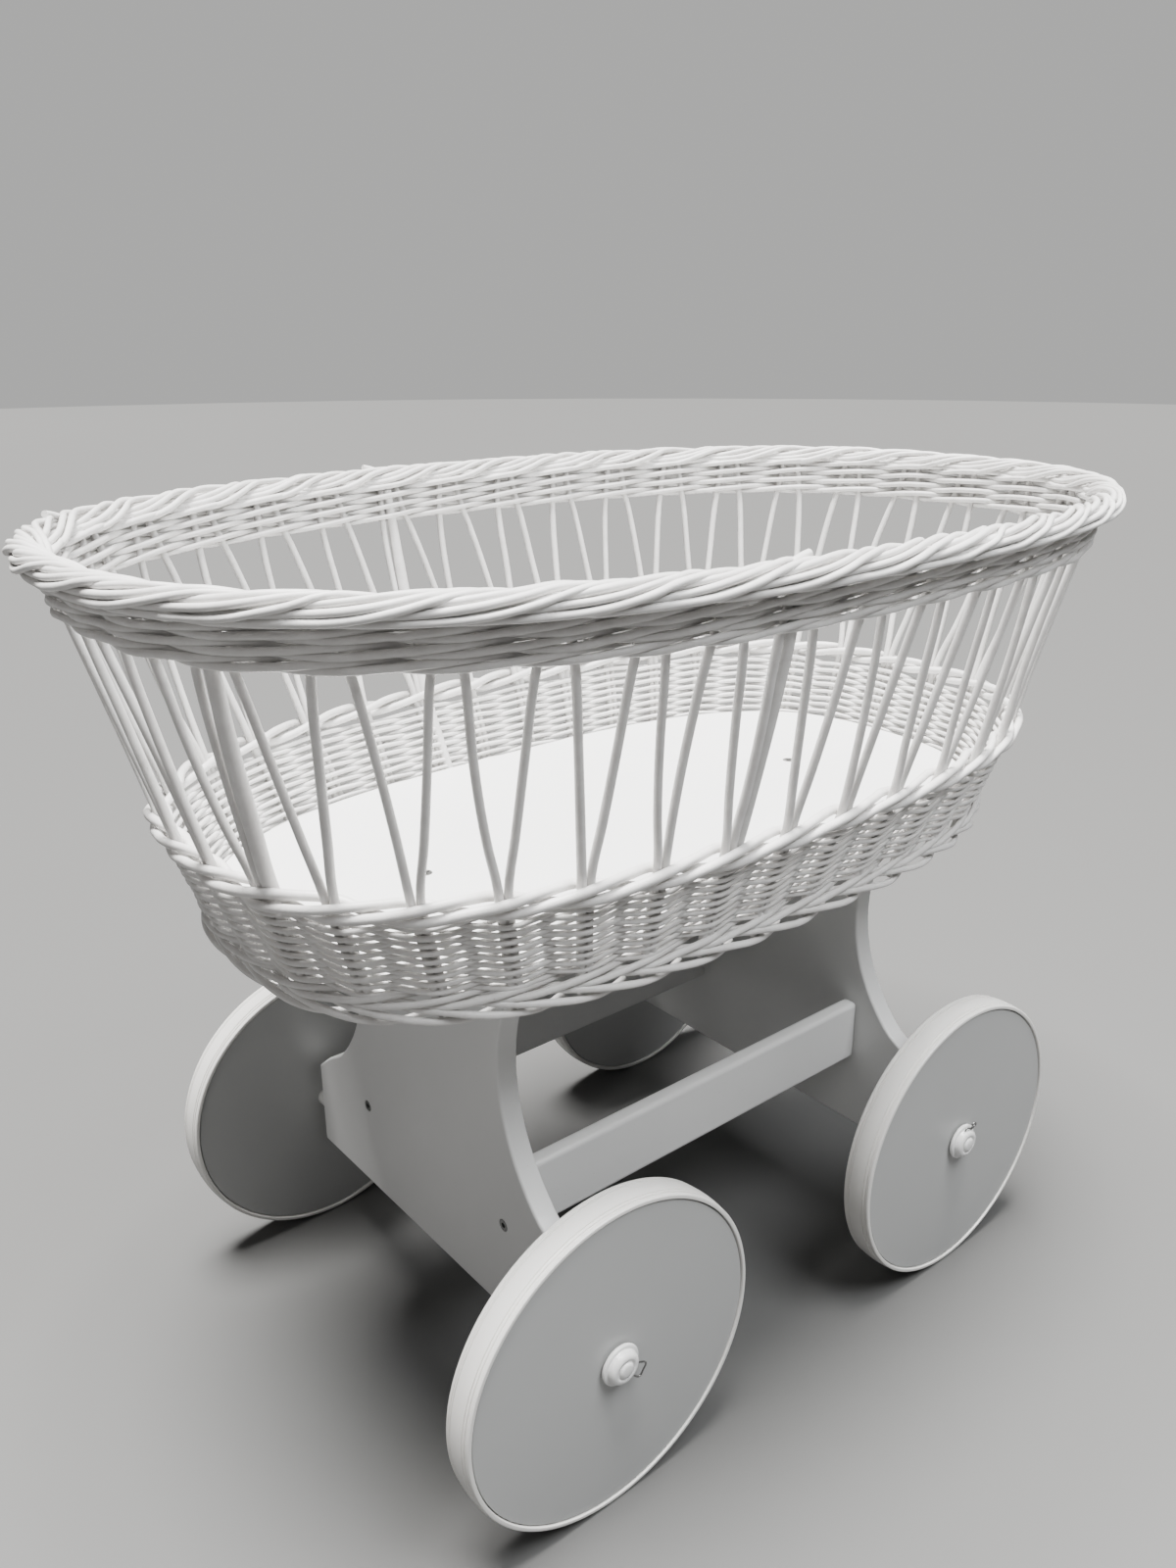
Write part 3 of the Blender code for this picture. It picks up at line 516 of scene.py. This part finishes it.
def rods(name, strands, sides, steps, node_names, finish=None):
    """Round rods along smooth strands, each (points, radii, closed), made one mesh piece."""
    curve = bpy.data.curves.new(name, "CURVE")
    curve.dimensions = "3D"
    curve.bevel_depth = 1.0
    curve.bevel_resolution = (sides - 4) // 2
    curve.resolution_u = steps
    curve.use_fill_caps = True
    for points, radii, closed in strands:
        spline = curve.splines.new("BEZIER")
        spline.bezier_points.add(len(points) - 1)
        spline.use_cyclic_u = closed
        for knot, point, radius in zip(spline.bezier_points, points, radii):
            knot.co = point
            knot.radius = radius
            knot.handle_left_type = "AUTO"
            knot.handle_right_type = "AUTO"
    piece = bpy.data.objects.new(name, curve)
    bpy.context.scene.collection.objects.link(piece)
    deselect()
    piece.select_set(True)
    bpy.context.view_layer.objects.active = piece
    bpy.ops.object.convert(target="MESH")
    piece = bpy.context.object
    piece.name = name
    bpy.ops.object.mode_set(mode="EDIT")
    bpy.ops.mesh.select_all(action="SELECT")
    bpy.ops.mesh.remove_doubles(threshold=0.00001)
    bpy.ops.object.mode_set(mode="OBJECT")
    bpy.ops.object.shade_smooth_by_angle(angle=math.radians(50.0))
    piece.data.materials.clear()
    piece.data.materials.append(finish or WILLOW)
    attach(piece, "cradle")
    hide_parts(*node_names)
    return piece


def station_turn(station):
    """Where a station's pair of stakes stands: they close up along the two long sides."""
    angle = 2.0 * np.pi * (np.asarray(station, float) - CROWDING_MIDDLE) / (STATIONS / 2)
    return station + FIRST_STATION - CROWDING * np.cos(angle)


def wale_round(strand, turn_of, height, front, drop, radius, lean, seed):
    """One rod of a three-rod wale: past the front of two stations, then behind the third."""
    chance = np.random.default_rng(seed)
    steps = np.arange(0, 2 * STATIONS)
    station = steps / 2.0
    phase = np.mod(steps - round(2 * strand), 6)
    out = np.choose(phase, [1.0, 1.12, 1.0, 0.05, -1.0, 0.0]) * front
    rise = np.choose(phase, [-1.0, -0.1, 0.9, 0.95, 0.0, -0.95]) * drop
    out = out + chance.normal(0.0, 0.0003, len(steps))
    rise = rise + chance.normal(0.0, 0.0003, len(steps))
    sizes = radius * (1.0 + 0.07 * np.sin(station / STATIONS * 4 * np.pi + chance.uniform(0, 6.28)))
    return wall_points(turn_of(station), out, height + rise, lean), sizes, True


# ==== Stakes ==================================================================================
# A pair of thin stakes stands at each of the 36 stations. They run up through the lower wall
# side by side, lean apart above the waist, and pass into the upper band next to a neighbour.

STAKE_RADIUS = 0.0031
STAKE_BESIDE = 0.052
WAIST_Z = 0.5125
BAND_FOOT_Z = 0.6770
STAKE_TOP_Z = 0.7120
DRIFT_STATIONS = (0, 2, 4, 6, 11, 16, 27, 36)
DRIFTS = (0.15, 0.20, 0.06, -0.28, -0.36, 0.0, 0.07, 0.15)
LEAN_STATIONS = (0, 1, 5, 6, 7, 10, 12, 36)
LEANS = (0.28, 0.38, 0.25, 0.21, 0.34, 0.32, 0.34, 0.28)


def top_turn(station, side):
    """Where a stake reaches the band: each pair leans apart, and drifts a little to one side."""
    lap = np.mod(station, STATIONS)
    drift = np.interp(lap, DRIFT_STATIONS, DRIFTS)
    lean = np.interp(lap, LEAN_STATIONS, LEANS)
    return station + FIRST_STATION + drift + side * lean


def pair_turn(station):
    """Where two neighbours' stakes draw together in the band, counted from a station."""
    return (top_turn(station, 1) + top_turn(np.asarray(station) + 1, -1)) / 2


def stake_strand(station, side, chance):
    """From the foot border up to the rim, with the bends and knots of a real stake."""
    foot = station_turn(station) + STAKE_BESIDE * side
    top = top_turn(station, side) + chance.normal(0.0, 0.01)
    bow = chance.normal(0.0, 0.035)
    dip = chance.normal(0.0, 0.0012)
    turns = [foot, foot, foot, foot + 0.02 * (top - foot)]
    heights = [0.4200, 0.4700, WAIST_Z, WAIST_Z + 0.010]
    outs = [0.0, 0.0, 0.0, 0.0]
    for share in (0.3, 0.62, 0.92):
        turns.append(foot + (top - foot) * (share - 0.03) + bow * math.sin(share * 3.1))
        heights.append(WAIST_Z + (BAND_FOOT_Z - WAIST_Z) * share)
        outs.append(dip * math.sin(share * 3.1))
    pair = pair_turn(station if side > 0 else station - 1)
    turns += [top + 0.10 * (pair - top), top + 0.45 * (pair - top)]
    heights += [BAND_FOOT_Z + 0.006, STAKE_TOP_Z]
    outs += [0.0, 0.0]
    swell = 1.06 - 0.014 * np.arange(len(turns)) + chance.normal(0.0, 0.02, len(turns))
    return wall_points(turns, outs, heights), STAKE_RADIUS * swell * chance.uniform(0.93, 1.05), False


stake_chance = np.random.default_rng(3)
stake_strands = [stake_strand(station, side, stake_chance) for station in range(STATIONS) for side in (-1, 1)]
rods("leaning_stakes", stake_strands, 10, 5, [f"stake_group_{number}" for number in range(1, 10)])

# ==== Thick posts =============================================================================
# Three rods as thick as a finger stand beside a stake of their pair and stiffen the open part.

POST_RADIUS = 0.0054
POST_BESIDE = 0.150
POSTS = {0: 1, 6: 1, 27: -1}
post_strands = []
for post_station, post_side in POSTS.items():
    beside = post_side * POST_BESIDE
    foot = station_turn(post_station) + beside
    top = top_turn(post_station, post_side) + beside
    shares = np.array([-0.45, 0.0, 0.35, 0.7, 1.0, 1.16])
    turns = foot + (top - foot) * np.clip(shares, 0.0, 1.0)
    outs = np.array([-0.0030, -0.0026, -0.0008, 0.0, -0.0012, -0.0020])
    heights = WAIST_Z + (BAND_FOOT_Z - WAIST_Z) * shares
    radii = POST_RADIUS * np.array([0.80, 0.95, 1.0, 0.96, 0.85, 0.75])
    post_strands.append((wall_points(turns, outs, heights), radii, False))
rods("thick_posts", post_strands, 14, 6, [f"thick_post_{number}" for number in (1, 2, 3)])

# ==== Lower wall ==============================================================================
# Eighteen rows of thin rods, each in front of one pair of stakes and behind the next.

ROW_COUNT = 18
ROW_FIRST_Z = 0.4412
ROW_LAST_Z = 0.5008
ROW_RADIUS = 0.00202
ROW_FRONT = 0.0050
ROW_LEAN = 0.55


def wall_row(row):
    chance = np.random.default_rng(100 + row)
    steps = np.arange(0, 4 * STATIONS)
    station = steps / 4.0
    sign = 1.0 if row % 2 else -1.0
    out = np.choose(np.mod(steps, 8), [1.0, 0.62, 0.0, -0.62, -1.0, -0.62, 0.0, 0.62]) * ROW_FRONT * sign
    height = ROW_FIRST_Z + (ROW_LAST_Z - ROW_FIRST_Z) * row / (ROW_COUNT - 1)
    wander = np.repeat(chance.normal(0.0, 0.00028, STATIONS), 4)
    out = out + chance.normal(0.0, 0.00015, len(steps))
    size = ROW_RADIUS * (1.0 + 0.10 * np.sin(station / STATIONS * 6 * np.pi + row * 1.7))
    return wall_points(station_turn(station), out, height + wander, ROW_LEAN), size, True


rods("wall_rows", [wall_row(row) for row in range(ROW_COUNT)], 8, 2, ["lower_wall"])

# ==== Waist ===================================================================================
# Three thick rods twisted round the stakes at the top of the wall, each passing in front of two
# stations and behind the third.

WAIST_RADIUS = 0.0034
WAIST_FRONT = 0.0068
WAIST_DROP = 0.0046
waist_strands = [
    wale_round(strand, station_turn, WAIST_Z, WAIST_FRONT, WAIST_DROP, WAIST_RADIUS, 0.30, 20 + strand)
    for strand in range(3)
]
rods("waist_twist", waist_strands, 14, 5, ["waist_wale"])

# ==== Upper band ==============================================================================
# Four rounds of the same weave in thinner rods, round the stakes where they have drawn together.

BAND_ROUNDS = 4
BAND_FIRST_Z = 0.6800
BAND_PITCH = 0.0090
BAND_RADIUS = 0.0024
BAND_FRONT = 0.0054
BAND_DROP = 0.0024
band_strands = []
for band_round in range(BAND_ROUNDS):
    for strand in range(3):
        height = BAND_FIRST_Z + BAND_PITCH * band_round
        seed = 40 + 3 * band_round + strand
        band_strands.append(
            wale_round(strand, pair_turn, height, BAND_FRONT, BAND_DROP, BAND_RADIUS, 0.20, seed)
        )
rods("band_weave", band_strands, 10, 4, ["upper_band"])

# ==== Rim =====================================================================================
# A plaited border laid round over the top of the band: four strands of three rods, each running
# along the outer side, over the top to the inner side, and back underneath.

PLAIT_STRANDS = 4
PLAIT_RODS = 3
PLAIT_STEPS = 4
PLAIT_START = 0.13
PLAIT_ROD_RADIUS = 0.00240
PLAIT_SPACING = 0.00525
PLAIT_CORE_RADIUS = 0.0116
PLAIT_AXIS_Z = 0.7062
PLAIT_OUT = 0.0072
PLAIT_PHASES = (0.0, 0.6, 1.15, 1.6, 2.05, 2.4, 2.7, 3.0, 3.3, 3.65, 4.0)
PLAIT_AROUND = (
    0.0125, 0.0125, 0.0108, 0.0058, -0.0028, -0.0092, -0.0120, -0.0118, -0.0058, 0.0060, 0.0125,
)
PLAIT_LAYERS = (
    -0.0022, -0.0006, 0.0022, 0.0034, 0.0033, 0.0018, -0.0008, -0.0038, -0.0064, -0.0064, -0.0022,
)
CUT_ENDS = ((25.41, -0.0035), (10.11, 0.0035), (15.25, 0.0040))


def plait_rod(strand, rod):
    """One rod of a strand, placed by how far round the border it is and in which layer."""
    chance = np.random.default_rng(60 + 3 * strand + rod)
    station = np.arange(0, PLAIT_STEPS * STATIONS) / PLAIT_STEPS
    wander = np.repeat(chance.normal(0.0, 0.05, STATIONS), PLAIT_STEPS)
    phase = np.mod(station - strand + wander, PLAIT_STRANDS)
    around = np.interp(phase, PLAIT_PHASES, PLAIT_AROUND) + (rod - 1) * PLAIT_SPACING
    layer = np.interp(phase, PLAIT_PHASES, PLAIT_LAYERS) + chance.normal(0.0, 0.00025, len(station))
    reach = PLAIT_CORE_RADIUS + layer
    angle = around / PLAIT_CORE_RADIUS
    out = PLAIT_OUT + reach * np.sin(angle)
    height = PLAIT_AXIS_Z + reach * np.cos(angle)
    size = PLAIT_ROD_RADIUS * (1.0 + 0.10 * np.sin(station * 0.83 + 2.1 * rod + strand))
    return wall_points(station + PLAIT_START, out, height), size, True


plait_strands = [plait_rod(strand, rod) for strand in range(PLAIT_STRANDS) for rod in range(PLAIT_RODS)]
for turn, aside in CUT_ENDS:
    turns = turn + np.array([-0.34, -0.22, -0.11, 0.0])
    outs = PLAIT_OUT + aside * np.array([0.6, 1.0, 1.2, 1.3])
    heights = PLAIT_AXIS_Z + np.array([0.0090, 0.0130, 0.0158, 0.0176])
    plait_strands.append((wall_points(turns, outs, heights), np.full(4, 0.0028), False))
rods("rim_plait", plait_strands, 10, 3, ["rim_border"])

# ==== Foot ====================================================================================
# One round of the three-rod weave, and under it the ends of the stakes, each bent to the right
# and rolled under the bottom edge.

FOOT_RADIUS = 0.0026
FOOT_WEAVE_Z = 0.4350
FOOT_FRONT = 0.0058
FOOT_DROP = 0.0030
foot_strands = [
    wale_round(strand, station_turn, FOOT_WEAVE_Z, FOOT_FRONT, FOOT_DROP, FOOT_RADIUS, 0.30, 80 + strand)
    for strand in range(3)
]
roll_chance = np.random.default_rng(90)
for station in range(STATIONS):
    turns = station_turn(station) + np.array([-0.75, -0.40, 0.0, 0.45, 0.90, 1.30, 1.60])
    outs = np.array([-0.0040, 0.0035, 0.0068, 0.0082, 0.0060, 0.0005, -0.0055])
    heights = np.array([0.4300, 0.4290, 0.4262, 0.4222, 0.4180, 0.4168, 0.4190])
    heights = heights + roll_chance.normal(0.0, 0.0003, len(heights))
    sizes = FOOT_RADIUS * np.array([0.9, 1, 1.05, 1.08, 1.02, 0.95, 0.8])
    foot_strands.append((wall_points(turns, outs, heights), sizes, False))
rods("foot_roll", foot_strands, 10, 4, ["foot_border"])

# ==== Wheels ==================================================================================
# A thick disc, coloured a mid grey well below the white of the tyre, pressed into a moulded tyre,
# which stands a little proud of it on both faces. Each turns on a nylon bush.

WHEEL_RADIUS = 0.135
TYRE = sprayed_material(
    "moulded_tyre",
    (0.83, 0.82, 0.79),
    (0.80, 0.785, 0.755),
    (0.70, 0.68, 0.64),
    0.36,
    14.0,
    0.06,
)
# The disc face is a flat mid grey, darker than the tyre and the lacquered boards.
DISC_FACE = sprayed_material(
    "wheel_disc_face",
    (0.465, 0.47, 0.465),
    (0.445, 0.45, 0.445),
    (0.38, 0.38, 0.37),
    0.36,
    5.0,
    0.08,
)
TYRE_SECTION = (
    (0.1302, 0.0080),
    (0.1302, 0.0126),
    (0.1306, 0.0134),
    (0.1318, 0.0136),
    (0.1332, 0.0133),
    (0.1339, 0.0124),
    (0.1340, 0.0104),
    (0.1331, 0.0100),
    (0.1331, 0.0095),
    (0.1342, 0.0092),
    (0.1345, 0.0078),
    (0.1335, 0.0074),
    (0.1335, 0.0069),
    (0.1346, 0.0066),
    (0.1349, 0.0035),
    (0.1350, 0.0000),
)


def turned_piece(name, section, centre, steps, material, angle=35.0, flip=1.0):
    """A closed section of (radius, distance along the axle) spun about an axle along Y."""
    deselect()
    bpy.ops.mesh.primitive_circle_add(vertices=len(section), radius=1.0, fill_type="NOTHING")
    piece = bpy.context.object
    piece.name = name
    centre = Vector(centre)
    for vertex, (radius, along) in zip(piece.data.vertices, section):
        vertex.co = centre + Vector((0.0, along * flip, radius))
    bpy.ops.object.mode_set(mode="EDIT")
    bpy.ops.mesh.select_all(action="SELECT")
    bpy.ops.mesh.spin(steps=steps, dupli=False, angle=2 * math.pi, center=centre, axis=(0.0, 1.0, 0.0))
    bpy.ops.mesh.select_all(action="SELECT")
    bpy.ops.mesh.remove_doubles(threshold=0.000005)
    bpy.ops.mesh.dissolve_degenerate(threshold=0.000005)
    bpy.ops.mesh.normals_make_consistent(inside=False)
    bpy.ops.object.mode_set(mode="OBJECT")
    bpy.ops.object.shade_smooth_by_angle(angle=math.radians(angle))
    piece.data.materials.append(material)
    return piece


def mirrored(section):
    """The section and its mirror image on the other side of the wheel's middle plane."""
    return list(section) + [(radius, -along) for radius, along in reversed(section) if along > 0.0]


DISC_SECTION = (
    (0.0066, 0.0122),
    (0.1288, 0.0122),
    (0.1293, 0.0117),
    (0.1293, 0.0080),
    (0.1299, 0.0076),
    (0.1299, 0.0),
)
for side in ("near", "far"):
    for end in ("left", "right"):
        tag = f"{side}_{end}"
        low_corner, high_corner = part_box(f"tyre_{tag}")
        middle = (low_corner + high_corner) / 2
        middle.z = WHEEL_RADIUS
        tyre = turned_piece(f"grooved_tyre_{tag}", mirrored(TYRE_SECTION), middle, 128, TYRE)
        disc = turned_piece(f"round_disc_{tag}", mirrored(DISC_SECTION), middle, 128, DISC_FACE)
        for piece, slot_name, node_name in (
            (tyre, "moulded_tyre", "tyre"),
            (disc, "wheel_disc_face", "wheel_disc"),
        ):
            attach(piece, f"wheel_{tag}")
            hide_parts(f"{node_name}_{tag}")

# ==== Hub caps and wire clips =================================================================
# A turned white cap covers each axle's end. A bent spring wire through cap and axle holds it.

CAP = sprayed_material(
    "moulded_cap",
    (0.86, 0.86, 0.85),
    (0.83, 0.83, 0.82),
    (0.72, 0.71, 0.70),
    0.26,
    30.0,
    0.05,
)
CAP_SECTION = (
    (0.0, 0.0108),
    (0.0040, 0.0107),
    (0.0058, 0.0102),
    (0.0065, 0.0093),
    (0.0067, 0.0086),
    (0.0076, 0.0086),
    (0.0082, 0.0093),
    (0.0096, 0.0095),
    (0.0116, 0.0089),
    (0.0130, 0.0076),
    (0.0137, 0.0058),
    (0.0138, 0.0040),
    (0.0141, 0.0036),
    (0.0160, 0.0036),
    (0.0167, 0.0031),
    (0.0170, 0.0022),
    (0.0169, 0.0010),
    (0.0166, 0.0006),
    (0.0, 0.0006),
)
NYLON = sprayed_material(
    "nylon",
    (0.73, 0.73, 0.71),
    (0.69, 0.69, 0.67),
    (0.60, 0.60, 0.58),
    0.42,
    40.0,
    0.05,
)
BEECH = sprayed_material(
    "beech",
    (0.62, 0.45, 0.29),
    (0.52, 0.36, 0.22),
    (0.40, 0.26, 0.15),
    0.60,
    250.0,
    0.30,
)
steel_material, steel_tree, steel_shader = new_material("zinc_plate", (0.62, 0.62, 0.61), 0.28, 1.0)
steel_where = add_node(steel_tree, "ShaderNodeTexCoord")
steel_grain = add_node(
    steel_tree,
    "ShaderNodeTexNoise",
    {"Vector": steel_where.outputs["Object"], "Scale": 700.0, "Detail": 3.0},
)
steel_gloss = add_node(
    steel_tree,
    "ShaderNodeMapRange",
    {"Value": steel_grain.outputs["Fac"], "To Min": 0.20, "To Max": 0.42},
)
steel_tint = add_node(
    steel_tree,
    "ShaderNodeMix",
    {"Factor": steel_grain.outputs["Fac"], "A": (0.24, 0.24, 0.235, 1), "B": (0.44, 0.44, 0.43, 1)},
    data_type="RGBA",
)
steel_relief = add_node(
    steel_tree,
    "ShaderNodeBump",
    {"Strength": 0.15, "Distance": 0.0001, "Height": steel_grain.outputs["Fac"]},
)
steel_tree.links.new(steel_tint.outputs[2], steel_shader.inputs["Base Color"])
steel_tree.links.new(steel_gloss.outputs["Result"], steel_shader.inputs["Roughness"])
steel_tree.links.new(steel_relief.outputs["Normal"], steel_shader.inputs["Normal"])
CLIP_WIRE_RADIUS = 0.00075
CLIP_TURNS = {"near_left": -35.0, "near_right": 78.0, "far_left": 40.0, "far_right": -70.0}
CLIP_Z = 0.0060
PLAIN_CLIP = (
    (0.0080, -0.0050, 0.0),
    (0.0150, -0.0053, 0.0),
    (0.0214, -0.0057, 0.0003),
    (0.0225, -0.0047, 0.0004),
    (0.0227, 0.0000, 0.0004),
    (0.0225, 0.0047, 0.0004),
    (0.0214, 0.0057, 0.0003),
    (0.0150, 0.0053, 0.0),
    (0.0080, 0.0050, 0.0),
)
LOOPED_CLIP = (
    (0.0090, 0.0045, 0.0),
    (0.0150, 0.0050, 0.0),
    (0.0158, 0.0042, 0.0003),
    (0.0155, -0.0010, 0.0010),
    (0.0160, -0.0020, 0.0012),
    (0.0200, -0.0008, 0.0020),
    (0.0212, -0.0030, 0.0024),
    (0.0196, -0.0056, 0.0024),
    (0.0160, -0.0030, 0.0016),
    (0.0130, -0.0024, 0.0006),
    (0.0100, -0.0024, 0.0),
)

for side, outward in (("near", -1.0), ("far", 1.0)):
    for end in ("left", "right"):
        tag = f"{side}_{end}"
        low_corner, high_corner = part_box(f"tyre_{tag}")
        face = low_corner.y if outward < 0 else high_corner.y
        hub = Vector(((low_corner.x + high_corner.x) / 2, face, WHEEL_RADIUS))
        cap = turned_piece(f"turned_cap_{tag}", CAP_SECTION, hub, 64, CAP, 50.0, outward)
        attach(cap, "cradle")
        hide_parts(f"hub_cap_{tag}")
        turn = math.radians(CLIP_TURNS[tag])
        bends = LOOPED_CLIP if tag == "near_right" else PLAIN_CLIP
        wire = []
        for reach, aside, lift in bends:
            along = reach * math.cos(turn) - aside * math.sin(turn)
            rise = reach * math.sin(turn) + aside * math.cos(turn)
            wire.append(hub + Vector((along, outward * (CLIP_Z + lift), rise)))
        rods(
            f"bent_clip_{tag}",
            [(wire, [CLIP_WIRE_RADIUS] * len(wire), False)],
            8,
            6,
            [f"wire_clip_{tag}"],
            steel_material,
        )

for node_name, node in frame["nodes"].items():
    if node_name.startswith(("axle", "joint_screw", "board_screw", "wire_clip")):
        node.data.materials[0] = steel_material
    elif node_name.startswith(("bush", "collar")):
        node.data.materials[0] = NYLON
    elif node_name.startswith("dowel"):
        node.data.materials[0] = BEECH
